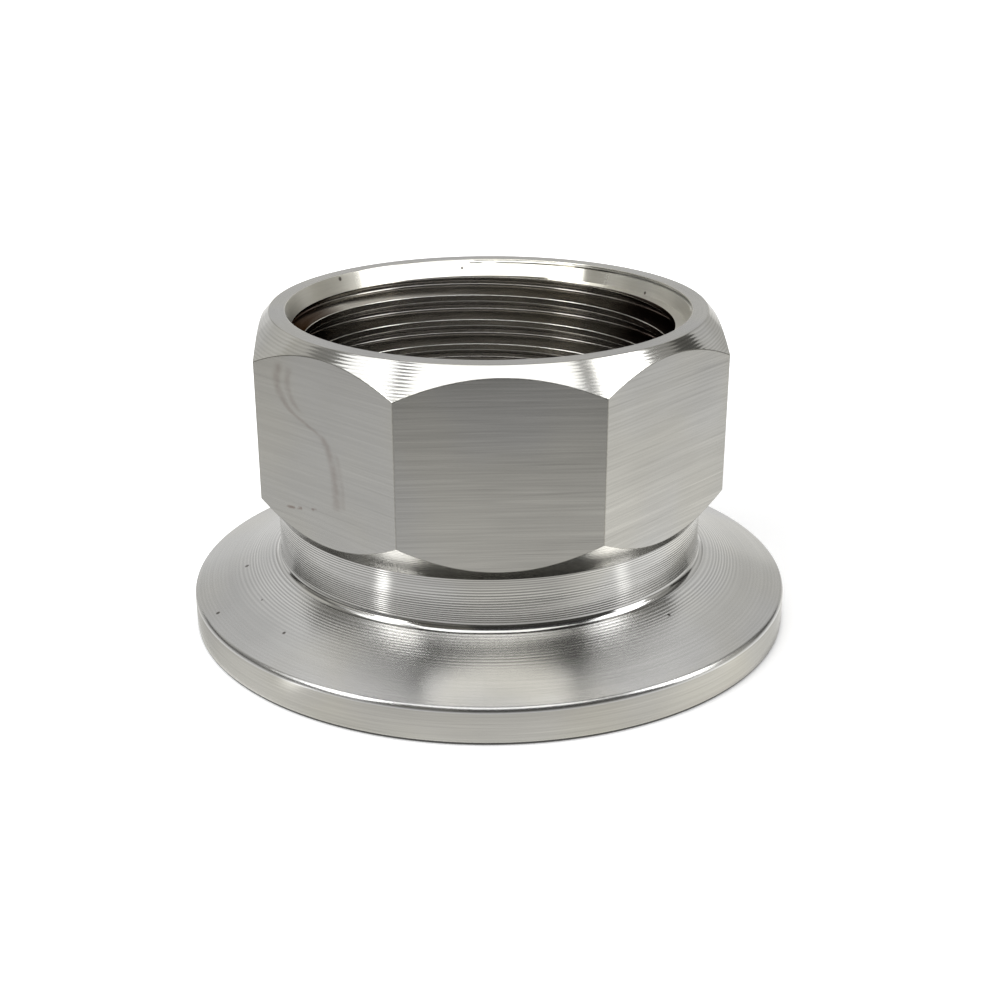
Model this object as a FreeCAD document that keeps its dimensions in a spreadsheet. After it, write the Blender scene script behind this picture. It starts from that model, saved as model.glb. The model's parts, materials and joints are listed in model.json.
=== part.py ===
import FreeCAD, Part
import Sketcher
import math
import os

# Sanitary clamp ferrule turned in one piece with an octagonal threaded socket.
#
# The part stands on its clamp face. The origin is the centre of that face,
# +Z runs along the axis to the threaded mouth, and one flat of the wrench
# body faces -Y. Lengths are in millimetres, angles in degrees.

NODE = "adapter_body"

# Sizes that drive the model: name, value, what it measures.
SIZES = (
    ("flange_diameter", 50.5, "outside of the clamp flange"),
    ("rim_height", 3.0, "clamp face to the corner of rim and sloped back"),
    ("slope_angle", 20.0, "sloped back of the flange, from level"),
    ("rim_upper_edge", 0.35, "edge break between rim and sloped back"),
    ("rim_lower_edge", 0.3, "edge break between rim and clamp face"),
    ("neck_diameter", 35.7, "turned neck between flange and wrench body"),
    ("neck_fillet", 0.8, "radius between sloped back and neck"),
    ("underside_height", 9.85, "clamp face to the corner of neck and lower cone"),
    ("underside_angle", 53.0, "lower cone of the wrench body, from level"),
    ("wrench_size", 37.0, "across the flats of the wrench body"),
    ("crown_angle", 48.0, "upper cone of the wrench body, from level"),
    ("crown_diameter", 35.6, "outside of the flat ring round the mouth"),
    ("overall_height", 26.45, "clamp face to the flat ring round the mouth"),
    ("mouth_diameter", 33.0, "conical mouth at the flat ring"),
    ("mouth_angle", 73.0, "wall of the conical mouth, from level"),
    ("mouth_depth", 1.45, "flat ring to the floor of the conical mouth"),
    ("core_diameter", 30.29, "bore that the pipe thread is cut into"),
    ("socket_depth", 16.5, "flat ring to the end of the core bore"),
    ("shoulder_angle", 31.0, "conical shoulder under the core bore, from level"),
    ("passage_diameter", 26.0, "bore through the clamp face"),
    ("passage_edge", 0.3, "edge break of that bore at the clamp face"),
    ("gasket_inset", 3.5, "rim to the centre line of the gasket groove"),
    ("gasket_radius", 2.0, "radius of the groove's round section"),
    ("gasket_depth", 1.5, "depth of the groove in the clamp face"),
)

# The wrench body has eight flats.
FLAT_COUNT = 8
FULL_TURN = 360.0

# The turned blank stands proud of the octagon's corners by this share of the
# wrench size. Cutting the flats takes all of it off.
BLANK_SHARE = 0.03

# Radii and heights that follow from the sizes.
CORNER_RADIUS = f"sizes.wrench_size / 2 / cos({FULL_TURN / FLAT_COUNT / 2})"
BLANK_RADIUS = f"({CORNER_RADIUS} + sizes.wrench_size * {BLANK_SHARE})"
NECK_FOOT = (
    "(sizes.rim_height + (sizes.flange_diameter - sizes.neck_diameter) / 2"
    " * tan(sizes.slope_angle))"
)
FILLET_FOOT_RADIUS = (
    "(sizes.neck_diameter / 2 + sizes.neck_fillet * (1 - sin(sizes.slope_angle)))"
)
FILLET_CENTRE_RADIUS = "(sizes.neck_diameter / 2 + sizes.neck_fillet)"
FILLET_TOP = (
    f"({NECK_FOOT} + sizes.neck_fillet"
    " * (1 / cos(sizes.slope_angle) - tan(sizes.slope_angle)))"
)
FILLET_FOOT = f"({FILLET_TOP} - sizes.neck_fillet * cos(sizes.slope_angle))"
UNDERSIDE_TOP = (
    f"(sizes.underside_height + ({BLANK_RADIUS} - sizes.neck_diameter / 2)"
    " * tan(sizes.underside_angle))"
)
CROWN_FOOT = (
    f"(sizes.overall_height - ({BLANK_RADIUS} - sizes.crown_diameter / 2)"
    " * tan(sizes.crown_angle))"
)
MOUTH_FLOOR = "(sizes.overall_height - sizes.mouth_depth)"
MOUTH_FLOOR_RADIUS = (
    "(sizes.mouth_diameter / 2 - sizes.mouth_depth / tan(sizes.mouth_angle))"
)
CORE_FOOT = "(sizes.overall_height - sizes.socket_depth)"
SHOULDER_FOOT = (
    f"({CORE_FOOT} - (sizes.core_diameter - sizes.passage_diameter) / 2"
    " * tan(sizes.shoulder_angle))"
)

# A sketch's own axes and the points of an edge go by these numbers.
SKETCH = {"level axis": -1, "upright axis": -2, "start": 1, "end": 2, "centre": 3}
SKETCH_ORIGIN = (SKETCH["level axis"], SKETCH["start"])
ON_AXIS = "0"

# Two lengths closer than this count as the same.
SAME = 1e-4


def make_sheet(doc):
    """Puts every driving size in a cell of its own, under its own name."""
    sheet = doc.addObject("Spreadsheet::Sheet", "sizes")
    for row, (alias, value, meaning) in enumerate(SIZES, start=1):
        sheet.set(f"A{row}", meaning)
        sheet.set(f"B{row}", str(value))
        sheet.setAlias(f"B{row}", alias)
    doc.recompute()
    return sheet


def number(sheet, expression):
    """The value that an expression on the sheet's cells has now."""
    return float(sheet.evalExpression(expression))


def origin_part(body, role):
    """One of the planes or axes that belong to the body itself."""
    for feature in body.Origin.OriginFeatures:
        if feature.Role == role:
            return feature
    raise RuntimeError(f"{body.Label} has no {role}")


def new_sketch(body, name, role):
    """An empty sketch on one of the body's own planes."""
    sketch = body.newObject("Sketcher::SketchObject", name)
    sketch.AttachmentSupport = [(origin_part(body, role), "")]
    sketch.MapMode = "FlatFace"
    return sketch


def hold(sheet, sketch, kind, edge, point, expression):
    """Keeps one point of an edge at a distance from the sketch's upright axis
    (DistanceX) or from its level axis (DistanceY)."""
    if expression == ON_AXIS:
        axis = SKETCH["upright axis" if kind == "DistanceX" else "level axis"]
        sketch.addConstraint(Sketcher.Constraint("PointOnObject", edge, point, axis))
        return
    value = number(sheet, expression)
    rule = Sketcher.Constraint(kind, *SKETCH_ORIGIN, edge, point, value)
    index = sketch.addConstraint(rule)
    sketch.setExpression(f"Constraints[{index}]", expression)


def hollow_arc(centre, first, last):
    """The arc round this centre that runs clockwise from first to last. A
    circle is drawn the other way round, so the arc starts at last."""
    circle = Part.Circle(centre, FreeCAD.Vector(0, 0, 1), (first - centre).Length)
    angles = []
    for point in (last, first):
        spoke = point - centre
        angles.append(math.atan2(spoke.y, spoke.x) % math.tau)
    return Part.ArcOfCircle(circle, *angles)


def closed_outline(sheet, sketch, corners):
    """Joins the corners into one closed loop, each to the next one.

    A corner is a distance across and a distance up. Where it has a third
    value, a hollow arc leaves it instead of a line. That value is the distance
    across of the arc's centre, which is level with the next corner.
    """
    points = [
        FreeCAD.Vector(number(sheet, across), number(sheet, up), 0)
        for across, up, *_ in corners
    ]
    ends = []
    for index, (point, corner) in enumerate(zip(points, corners)):
        following = points[(index + 1) % len(points)]
        if len(corner) > len(("across", "up")):
            centre = FreeCAD.Vector(number(sheet, corner[-1]), following.y, 0)
            sketch.addGeometry(hollow_arc(centre, point, following), False)
            ends.append((SKETCH["end"], SKETCH["start"]))
        else:
            sketch.addGeometry(Part.LineSegment(point, following), False)
            ends.append((SKETCH["start"], SKETCH["end"]))
    for index, (_, last) in enumerate(ends):
        following = (index + 1) % len(points)
        rule = Sketcher.Constraint(
            "Coincident", index, last, following, ends[following][0]
        )
        sketch.addConstraint(rule)
    for index, (across, up, *arc_centre) in enumerate(corners):
        first = ends[index][0]
        hold(sheet, sketch, "DistanceX", index, first, across)
        hold(sheet, sketch, "DistanceY", index, first, up)
        for expression in arc_centre:
            hold(sheet, sketch, "DistanceX", index, SKETCH["centre"], expression)


def revolve(body, kind, name, sketch):
    """A full turn of a sketch about its upright axis."""
    feature = body.newObject(kind, name)
    feature.Profile = sketch
    feature.ReferenceAxis = (sketch, ["V_Axis"])
    feature.Angle = FULL_TURN
    sketch.Visibility = False
    return feature


def add_turned_blank(doc, sheet, body):
    """Flange, neck and wrench body as they leave the lathe, before the flats.
    A fillet joins the sloped back to the neck."""
    sketch = new_sketch(body, "turned_outline", "XZ_Plane")
    closed_outline(
        sheet,
        sketch,
        (
            (ON_AXIS, ON_AXIS),
            ("sizes.flange_diameter / 2", ON_AXIS),
            ("sizes.flange_diameter / 2", "sizes.rim_height"),
            (FILLET_FOOT_RADIUS, FILLET_FOOT, FILLET_CENTRE_RADIUS),
            ("sizes.neck_diameter / 2", FILLET_TOP),
            ("sizes.neck_diameter / 2", "sizes.underside_height"),
            (BLANK_RADIUS, UNDERSIDE_TOP),
            (BLANK_RADIUS, CROWN_FOOT),
            ("sizes.crown_diameter / 2", "sizes.overall_height"),
            (ON_AXIS, "sizes.overall_height"),
        ),
    )
    revolve(body, "PartDesign::Revolution", "turned_blank", sketch)
    doc.recompute()


def add_flats(doc, sheet, body):
    """Cuts one flat down to the neck's mid height, then repeats it round."""
    sketch = new_sketch(body, "flat_outline", "XY_Plane")
    sketch.setExpression(".AttachmentOffset.Base.z", "sizes.overall_height")
    near = "-sizes.wrench_size / 2"
    far = f"-2 * {BLANK_RADIUS}"
    side = BLANK_RADIUS
    closed_outline(
        sheet,
        sketch,
        (
            (f"-{side}", far),
            (side, far),
            (side, near),
            (f"-{side}", near),
        ),
    )
    flat = body.newObject("PartDesign::Pocket", "first_flat")
    flat.Profile = sketch
    flat.setExpression(
        "Length",
        f"sizes.overall_height - ({FILLET_TOP} + sizes.underside_height) / 2",
    )
    sketch.Visibility = False
    doc.recompute()
    pattern = body.newObject("PartDesign::PolarPattern", "wrench_flats")
    pattern.Originals = [flat]
    pattern.Axis = (origin_part(body, "Z_Axis"), [""])
    pattern.Angle = FULL_TURN
    pattern.Occurrences = FLAT_COUNT
    body.Tip = pattern
    doc.recompute()


def add_socket(doc, sheet, body):
    """Conical mouth, core bore, shoulder and passage in one cut."""
    sketch = new_sketch(body, "socket_outline", "XZ_Plane")
    closed_outline(
        sheet,
        sketch,
        (
            (ON_AXIS, ON_AXIS),
            ("sizes.passage_diameter / 2", ON_AXIS),
            ("sizes.passage_diameter / 2", SHOULDER_FOOT),
            ("sizes.core_diameter / 2", CORE_FOOT),
            ("sizes.core_diameter / 2", MOUTH_FLOOR),
            (MOUTH_FLOOR_RADIUS, MOUTH_FLOOR),
            ("sizes.mouth_diameter / 2", "sizes.overall_height"),
            (ON_AXIS, "sizes.overall_height"),
        ),
    )
    revolve(body, "PartDesign::Groove", "socket", sketch)
    doc.recompute()


def add_gasket_groove(doc, sheet, body):
    """Round-bottomed ring groove for the gasket's bead."""
    sketch = new_sketch(body, "gasket_section", "XZ_Plane")
    across = "sizes.flange_diameter / 2 - sizes.gasket_inset"
    up = "sizes.gasket_depth - sizes.gasket_radius"
    radius = "sizes.gasket_radius"
    centre = FreeCAD.Vector(number(sheet, across), number(sheet, up), 0)
    upright = FreeCAD.Vector(0, 0, 1)
    ring = Part.Circle(centre, upright, number(sheet, radius))
    circle = sketch.addGeometry(ring, False)
    hold(sheet, sketch, "DistanceX", circle, SKETCH["centre"], across)
    hold(sheet, sketch, "DistanceY", circle, SKETCH["centre"], up)
    rule = Sketcher.Constraint("Radius", circle, number(sheet, radius))
    index = sketch.addConstraint(rule)
    sketch.setExpression(f"Constraints[{index}]", radius)
    revolve(body, "PartDesign::Groove", "gasket_groove", sketch)
    doc.recompute()


def ring_edges(shape, radius, height):
    """Names of the round edges with this radius and height about the axis."""
    names = []
    for index, edge in enumerate(shape.Edges, start=1):
        curve = edge.Curve
        if not isinstance(curve, Part.Circle):
            continue
        same_radius = abs(curve.Radius - radius) < SAME
        same_height = abs(curve.Center.z - height) < SAME
        centred = math.hypot(curve.Center.x, curve.Center.y) < SAME
        if same_radius and same_height and centred:
            names.append(f"Edge{index}")
    return names


def add_edge_breaks(doc, sheet, body):
    """Breaks both edges of the rim and the passage's edge at the clamp face."""
    rim = "sizes.flange_diameter / 2"
    for name, cell, radius, height in (
        ("rim_upper_break", "rim_upper_edge", rim, "sizes.rim_height"),
        ("rim_lower_break", "rim_lower_edge", rim, ON_AXIS),
        ("passage_break", "passage_edge", "sizes.passage_diameter / 2", ON_AXIS),
    ):
        base = body.Tip
        edges = ring_edges(
            base.Shape, number(sheet, radius), number(sheet, height)
        )
        if not edges:
            raise RuntimeError(f"{name}: no edge there")
        feature = body.newObject("PartDesign::Chamfer", name)
        feature.Base = (base, edges)
        feature.setExpression("Size", f"sizes.{cell}")
        doc.recompute()


def build(doc):
    """Makes the one solid and returns its body."""
    sheet = make_sheet(doc)
    body = doc.addObject("PartDesign::Body", NODE)
    body.Label = NODE
    volumes = []
    add_turned_blank(doc, sheet, body)
    volumes.append(body.Shape.Volume)
    for cut in (add_flats, add_socket, add_gasket_groove):
        cut(doc, sheet, body)
        volumes.append(body.Shape.Volume)
        if volumes[-1] >= volumes[-2] - SAME:
            raise RuntimeError(f"{cut.__name__} took nothing off")
    add_edge_breaks(doc, sheet, body)
    return body


def check(doc, body):
    """Stops before anything is written if a feature or the solid is bad."""
    for item in doc.Objects:
        if "Invalid" in item.State or "Error" in item.State:
            raise RuntimeError(f"{item.Name} failed: {item.State}")
        if item.TypeId == "Sketcher::SketchObject" and not item.FullyConstrained:
            raise RuntimeError(f"{item.Name} is not fully constrained")
    shape = body.Shape
    if shape.isNull() or not shape.isValid() or len(shape.Solids) != 1:
        raise RuntimeError(f"{body.Label} is not one valid solid")


def main():
    doc = FreeCAD.newDocument("clamp_adapter")
    body = build(doc)
    doc.recompute()
    check(doc, body)
    os.makedirs("parts", exist_ok=True)
    body.Shape.exportStep(os.path.join("parts", f"{body.Label}.step"))
    box = body.Shape.optimalBoundingBox(False)
    print(f"{body.Label}: {box.XLength:.3f} x {box.YLength:.3f} x {box.ZLength:.3f} mm")
    print(f"volume {body.Shape.Volume:.2f} cubic mm")


main()
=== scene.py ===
import json
import math

import bpy
from mathutils import Matrix, Vector


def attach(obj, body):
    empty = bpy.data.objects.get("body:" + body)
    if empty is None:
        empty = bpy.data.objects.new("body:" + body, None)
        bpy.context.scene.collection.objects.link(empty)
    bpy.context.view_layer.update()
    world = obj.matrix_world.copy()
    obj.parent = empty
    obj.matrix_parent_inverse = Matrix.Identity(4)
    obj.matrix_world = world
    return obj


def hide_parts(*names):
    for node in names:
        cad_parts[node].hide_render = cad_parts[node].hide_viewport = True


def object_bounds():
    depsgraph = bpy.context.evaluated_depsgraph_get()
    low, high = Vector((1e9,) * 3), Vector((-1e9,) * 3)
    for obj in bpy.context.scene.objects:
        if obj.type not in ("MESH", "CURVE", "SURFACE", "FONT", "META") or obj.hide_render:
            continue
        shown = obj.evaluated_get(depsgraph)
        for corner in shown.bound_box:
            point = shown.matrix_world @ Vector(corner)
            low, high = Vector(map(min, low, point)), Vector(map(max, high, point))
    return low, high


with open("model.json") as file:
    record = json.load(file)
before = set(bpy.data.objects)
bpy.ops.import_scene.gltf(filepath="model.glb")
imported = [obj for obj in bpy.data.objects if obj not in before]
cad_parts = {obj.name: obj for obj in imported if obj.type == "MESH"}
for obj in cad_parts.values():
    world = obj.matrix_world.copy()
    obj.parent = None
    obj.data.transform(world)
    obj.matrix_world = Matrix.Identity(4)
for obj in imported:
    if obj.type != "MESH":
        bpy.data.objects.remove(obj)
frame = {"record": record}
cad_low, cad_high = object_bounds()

# Sanitary clamp ferrule with an octagonal threaded socket.
#
# Lengths are in millimetres and angles in degrees, in the part's own frame: the
# origin is the centre of the clamp face, +Z runs to the threaded mouth and a flat
# of the wrench body faces -Y. An azimuth is 0 at -Y and 90 at +X.

MM = 0.001
MICROMETRE = 1e-6
NODE = "adapter_body"

# Heights, in millimetres, and normals, in radians, that count as the same.
SAME = 1e-3
SAME_NORMAL = 1e-6

# Dimensions

# What the frame holds: the mounts' radii and the overall height. The other sizes
# repeat those of the solid.
MOUNTS = {mount["name"]: mount["dims"] for mount in frame["record"]["mounts"]}
FLANGE_R = MOUNTS["flange_rim"]["r_mm"]
CORE_R = MOUNTS["pipe_thread"]["r_mm"]
PASSAGE_R = MOUNTS["passage"]["r_mm"]
TOP_Z = round(cad_high[2] / MM, 3)

RIM_Z = 3.0
SLOPE_ANGLE = 20.0
RIM_UPPER_ROUND = 0.5
RIM_LOWER_ROUND = 0.3
NECK_R = 17.85
NECK_FILLET = 0.8
UNDERSIDE_Z = 9.85
UNDERSIDE_ANGLE = 53.0
FLAT_R = 18.5
FLATS = 8
CROWN_ANGLE = 48.0
CROWN_R = 17.8
MOUTH_R = 16.5
MOUTH_ANGLE = 73.0
MOUTH_DEPTH = 1.45
MOUTH_Z = TOP_Z - MOUTH_DEPTH
SOCKET_DEPTH = 16.5
CORE_Z = TOP_Z - SOCKET_DEPTH
SHOULDER_ANGLE = 31.0
PASSAGE_EDGE = 0.3
GASKET_INSET = 3.5
GASKET_R = FLANGE_R - GASKET_INSET
GASKET_ROUND = 2.0
GASKET_DEPTH = 1.5
GASKET_STEPS = 12

# Roundings of the edges. A rounding takes no more than TRIM_SHARE of a side, and
# turns under SHARP_TURN get none.
TRIM_SHARE = 0.42
SHARP_TURN = 3.0
EDGE_ROUND = 0.12
FLAT_CORNER_ROUND = 0.15
RING_OUTER_ROUND = 0.12
RING_INNER_ROUND = 0.08
MOUTH_FLOOR_ROUND = 0.05
NECK_TOP_ROUND = 0.1
PASSAGE_ROUND = 0.1
THREAD_ROUND = 0.06
ROOT_ROUND = 0.25

# Pipe thread, right hand. CREST_Z is the height of one crest's upper edge at +Y,
# FLANK the height of a flank, ROOT_FLAT that of the flat of the root, and
# THREAD_FADE the heights between which the thread runs out above the shoulder.
PITCH = 2.309
CREST_Z = 23.396
ROOT_R = 16.45
FLANK = 0.679
ROOT_FLAT = 0.395
THREAD_FADE = (10.3, 12.5)
# Height under the mouth in which the thread's root rises to the mouth's foot, and
# how near the thread's corners come to the run-out and to the mouth.
THREAD_RUN_IN = 0.35
THREAD_CLEAR = 0.05
MOUTH_CLEAR = 0.03
# A corner within CREST_SLACK of the core is a crest. A step under NO_STEP at the
# mouth's foot is left out.
CREST_SLACK = 0.01
NO_STEP = 0.02

# Shallow turned cut in the mouth's wall under the ring, on one side only: its
# levels and their zones, how deep and how far round it goes, and its fades. Its
# upper flank is painted near black as its shadow and its middle darker, as
# painted shade, up to CUT_DARK_END. Beyond that the cut has the mouth's colour.
CUT_LEVELS = (26.08, 26.16, 26.30, 26.37)
CUT_ZONES = ("mouth", "edge", "groove", "mouth")
CUT_DEPTH = 0.18
CUT_START, CUT_END = 80.0, 184.0
CUT_FADE = (10.0, 30.0)
CUT_DARK_END = 150.0

# Columns of the skin: steps on a flat, and places beside each corner. Columns
# nearer than CORNER_STEP to each other belong to the corner itself.
HALF_FLAT = 180.0 / FLATS
FLAT_COLUMNS = 28
CORNER_COLUMNS = (-0.45, -0.17, -0.09, 0.0, 0.09, 0.17, 0.45)
CORNER_STEP = 0.1

# Zones of the skin, in the order of its material slots.
ZONES = (
    "thread",
    "thread_crest",
    "thread_edge",
    "thread_root",
    "groove",
    "core",
    "edge",
    "mouth",
    "ring",
    "crown",
    "flats",
    "underside",
    "neck",
    "slope",
    "rim",
    "rim_foot",
    "clamp_face",
    "passage",
    "corner",
)
ZONE = {name: index for index, name in enumerate(ZONES)}


def sin(angle):
    return math.sin(math.radians(angle))


def cos(angle):
    return math.cos(math.radians(angle))


def tan(angle):
    return math.tan(math.radians(angle))


# Columns of the profile


class Corner:
    """One corner of a column's outline, with the zone of the side after it."""

    def __init__(self, r, z, zone, rounding=0.0, steps=1, normal=None, edge=None):
        self.r, self.z, self.zone = r, z, zone
        self.rounding, self.steps, self.normal = rounding, steps, normal
        self.edge = edge


class Spot:
    """One vertex of a column, with its normals before and after it."""

    def __init__(self, r, z, before, after, zone):
        self.r, self.z, self.before, self.after, self.zone = r, z, before, after, zone


def side_normal(a, b, azimuth):
    """Outward normal of the turned side between two corners."""
    if a.normal is not None:
        return a.normal
    dr, dz = b.r - a.r, b.z - a.z
    length = math.hypot(dr, dz)
    nr, nz = -dz / length, dr / length
    return Vector((nr * sin(azimuth), -nr * cos(azimuth), nz))


def between(a, b, share):
    """Unit vector part of the way from one normal to another."""
    angle = a.angle(b, 0.0)
    if angle < SAME_NORMAL:
        return a.copy()
    return (
        a * math.sin((1 - share) * angle) + b * math.sin(share * angle)
    ).normalized()


def rounded(corners, azimuth):
    """The spots of an open outline whose corners have been rounded."""
    spots = []
    count = len(corners)
    normals = [
        side_normal(corners[i], corners[i + 1], azimuth) for i in range(count - 1)
    ]
    for i, corner in enumerate(corners):
        if i == 0 or i == count - 1:
            normal = normals[0] if i == 0 else normals[-1]
            spots.append(Spot(corner.r, corner.z, normal, normal, corner.zone))
            continue
        before, after = corners[i - 1], corners[i + 1]
        a = Vector((corner.r - before.r, corner.z - before.z))
        b = Vector((after.r - corner.r, after.z - corner.z))
        turn = a.angle(b, 0.0)
        if corner.rounding <= 0 or turn < math.radians(SHARP_TURN):
            spots.append(
                Spot(corner.r, corner.z, normals[i - 1], normals[i], corner.zone)
            )
            continue
        trim = corner.rounding * math.tan(turn / 2)
        trim = min(trim, TRIM_SHARE * a.length, TRIM_SHARE * b.length)
        radius = trim / math.tan(turn / 2)
        a.normalize()
        b.normalize()
        left = Vector((-a.y, a.x))
        side = 1.0 if left.dot(b) > 0 else -1.0
        start = Vector((corner.r, corner.z)) - a * trim
        centre = start + left * side * radius
        arm = start - centre
        for step in range(corner.steps + 1):
            share = step / corner.steps
            swing = side * turn * share
            c, s = math.cos(swing), math.sin(swing)
            point = centre + Vector((arm.x * c - arm.y * s, arm.x * s + arm.y * c))
            normal = between(normals[i - 1], normals[i], share)
            zone = before.zone if corner.edge is None else corner.edge
            if step == corner.steps:
                zone = corner.zone
            spots.append(Spot(point.x, point.y, normal, normal, zone))
    return spots


def flat_radius(azimuth):
    """Radius and normal azimuth of the octagon, its corners rounded."""
    flat = round(azimuth / (2 * HALF_FLAT)) * 2 * HALF_FLAT
    off = azimuth - flat
    corner = flat + math.copysign(HALF_FLAT, off)
    past = azimuth - corner
    inner = FLAT_R - FLAT_CORNER_ROUND
    touch = HALF_FLAT - math.degrees(math.atan(inner * tan(HALF_FLAT) / FLAT_R))
    if abs(past) >= touch:
        return FLAT_R / cos(off), flat
    centre = inner / cos(HALF_FLAT)
    height = centre * sin(past)
    reach = math.sqrt(FLAT_CORNER_ROUND**2 - height**2)
    radius = centre * cos(past) + reach
    swing = math.degrees(math.atan2(radius * sin(past), radius * cos(past) - centre))
    return radius, corner + swing


def thread_knots(azimuth):
    """Radius and height of the thread's corners on one column, from below."""
    clockwise = 180.0 - azimuth
    first = CREST_Z - PITCH * clockwise / 360.0
    turns = math.floor((first - CORE_Z) / PITCH) + 1
    low = first - turns * PITCH
    knots = []
    for turn in range(2 * turns):
        base = low + turn * PITCH
        for step, radius, zone in (
            (0.0, CORE_R, "thread"),
            (FLANK, ROOT_R, "thread"),
            (FLANK + ROOT_FLAT, ROOT_R, "thread"),
            (2 * FLANK + ROOT_FLAT, CORE_R, "thread_crest"),
        ):
            z = base + step
            fade = (z - THREAD_FADE[0]) / (THREAD_FADE[1] - THREAD_FADE[0])
            fade = min(max(fade, 0.0), 1.0)
            knots.append((z, CORE_R + (radius - CORE_R) * fade, ZONE[zone]))
    return knots


def thread_radius(knots, z):
    """Radius of the thread at one height, before any rounding."""
    for (za, ra, _), (zb, rb, _) in zip(knots, knots[1:]):
        if za <= z <= zb:
            return ra + (rb - ra) * (z - za) / (zb - za)
    return CORE_R


def mouth_radius(z):
    """Radius of the conical mouth at one height."""
    return MOUTH_R - (TOP_Z - z) / tan(MOUTH_ANGLE)


def cut_share(azimuth):
    """How far in the turned cut under the ring goes at one azimuth, 0 to 1."""
    past = (azimuth - CUT_START) % 360.0
    length = (CUT_END - CUT_START) % 360.0
    if past >= length:
        return 0.0
    return min(1.0, past / CUT_FADE[0], (length - past) / CUT_FADE[1])


def bore_corners(azimuth):
    """Core bore, thread and mouth on one column, from the shoulder upwards."""
    knots = thread_knots(azimuth)
    foot = mouth_radius(MOUTH_Z)
    corners = [Corner(CORE_R, CORE_Z, ZONE["core"])]
    for z, radius, zone in knots:
        if THREAD_FADE[0] + THREAD_CLEAR < z < MOUTH_Z - MOUTH_CLEAR:
            at_crest = radius < CORE_R + CREST_SLACK
            edge = ZONE["thread_edge"] if at_crest else ZONE["thread_root"]
            rounding = THREAD_ROUND if at_crest else ROOT_ROUND
            run_in = (MOUTH_Z - z) / THREAD_RUN_IN * (ROOT_R - foot)
            radius = min(radius, foot + run_in)
            corners.append(Corner(radius, z, zone, rounding, 3, None, edge))
    start = min(thread_radius(knots, MOUTH_Z), foot)
    if start < foot - NO_STEP:
        corners.append(Corner(start, MOUTH_Z, ZONE["mouth"], MOUTH_FLOOR_ROUND, 2))
    corners.append(Corner(foot, MOUTH_Z, ZONE["mouth"]))

    share = cut_share(azimuth)
    for z, depth, zone in zip(CUT_LEVELS, (0.0, 1.0, 1.0, 0.0), CUT_ZONES):
        if share > 0.0:
            zone = zone if azimuth < CUT_DARK_END else "mouth"
            radius = mouth_radius(z) + CUT_DEPTH * share * depth
            corners.append(Corner(radius, z, ZONE[zone]))
    corners.append(Corner(MOUTH_R, TOP_Z, ZONE["ring"], RING_INNER_ROUND, 2))
    return corners


def outer_corners(azimuth):
    """The outside on one column, from the ring down and under to the bore."""
    radius, facing = flat_radius(azimuth)
    facing_normal = Vector((sin(facing), -cos(facing), 0.0))
    edge, foot = ZONE["edge"], ZONE["rim_foot"]
    crown_z = TOP_Z - (radius - CROWN_R) * tan(CROWN_ANGLE)
    under_z = UNDERSIDE_Z + (radius - NECK_R) * tan(UNDERSIDE_ANGLE)
    neck_z = RIM_Z + (FLANGE_R - NECK_R) * tan(SLOPE_ANGLE)
    half_gasket = math.sqrt(GASKET_ROUND**2 - (GASKET_ROUND - GASKET_DEPTH) ** 2)
    shoulder_z = CORE_Z - (CORE_R - PASSAGE_R) * tan(SHOULDER_ANGLE)
    corners = [
        Corner(CROWN_R, TOP_Z, ZONE["crown"], RING_OUTER_ROUND, 3, None, edge),
        Corner(radius, crown_z, ZONE["flats"], EDGE_ROUND, 3, facing_normal, edge),
        Corner(radius, under_z, ZONE["underside"], EDGE_ROUND, 3, None, edge),
        Corner(NECK_R, UNDERSIDE_Z, ZONE["neck"], NECK_TOP_ROUND, 2),
        Corner(NECK_R, neck_z, ZONE["slope"], NECK_FILLET, 7),
        Corner(FLANGE_R, RIM_Z, ZONE["rim"], RIM_UPPER_ROUND, 5),
        # The rim's lower rounding takes a near-black zone: painted contact shadow.
        Corner(FLANGE_R, 0.0, ZONE["clamp_face"], RIM_LOWER_ROUND, 4, None, foot),
        Corner(GASKET_R + half_gasket, 0.0, ZONE["clamp_face"]),
    ]
    start = math.degrees(math.asin(half_gasket / GASKET_ROUND))
    for step in range(1, GASKET_STEPS):
        swing = start * (1 - 2 * step / GASKET_STEPS)
        corners.append(
            Corner(
                GASKET_R + GASKET_ROUND * sin(swing),
                GASKET_ROUND * cos(swing) - (GASKET_ROUND - GASKET_DEPTH),
                ZONE["clamp_face"],
            )
        )
    corners += [
        Corner(GASKET_R - half_gasket, 0.0, ZONE["clamp_face"]),
        Corner(PASSAGE_R + PASSAGE_EDGE, 0.0, ZONE["passage"]),
        Corner(PASSAGE_R, PASSAGE_EDGE, ZONE["passage"]),
        Corner(PASSAGE_R, shoulder_z, ZONE["passage"], PASSAGE_ROUND, 2),
        Corner(CORE_R, CORE_Z, ZONE["core"]),
    ]
    return corners


def column(azimuth):
    """All spots of one column, and how many of them belong to the bore."""
    bore, outer = bore_corners(azimuth), outer_corners(azimuth)
    spots = rounded(bore + outer, azimuth)
    ring_end = next(
        i
        for i, spot in enumerate(spots)
        if spot.zone == ZONE["ring"] and spot.z > TOP_Z - SAME
    )
    return spots, ring_end + 1


# How much further than their difference in length two columns may drift apart.
STITCH_REACH = 8


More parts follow.
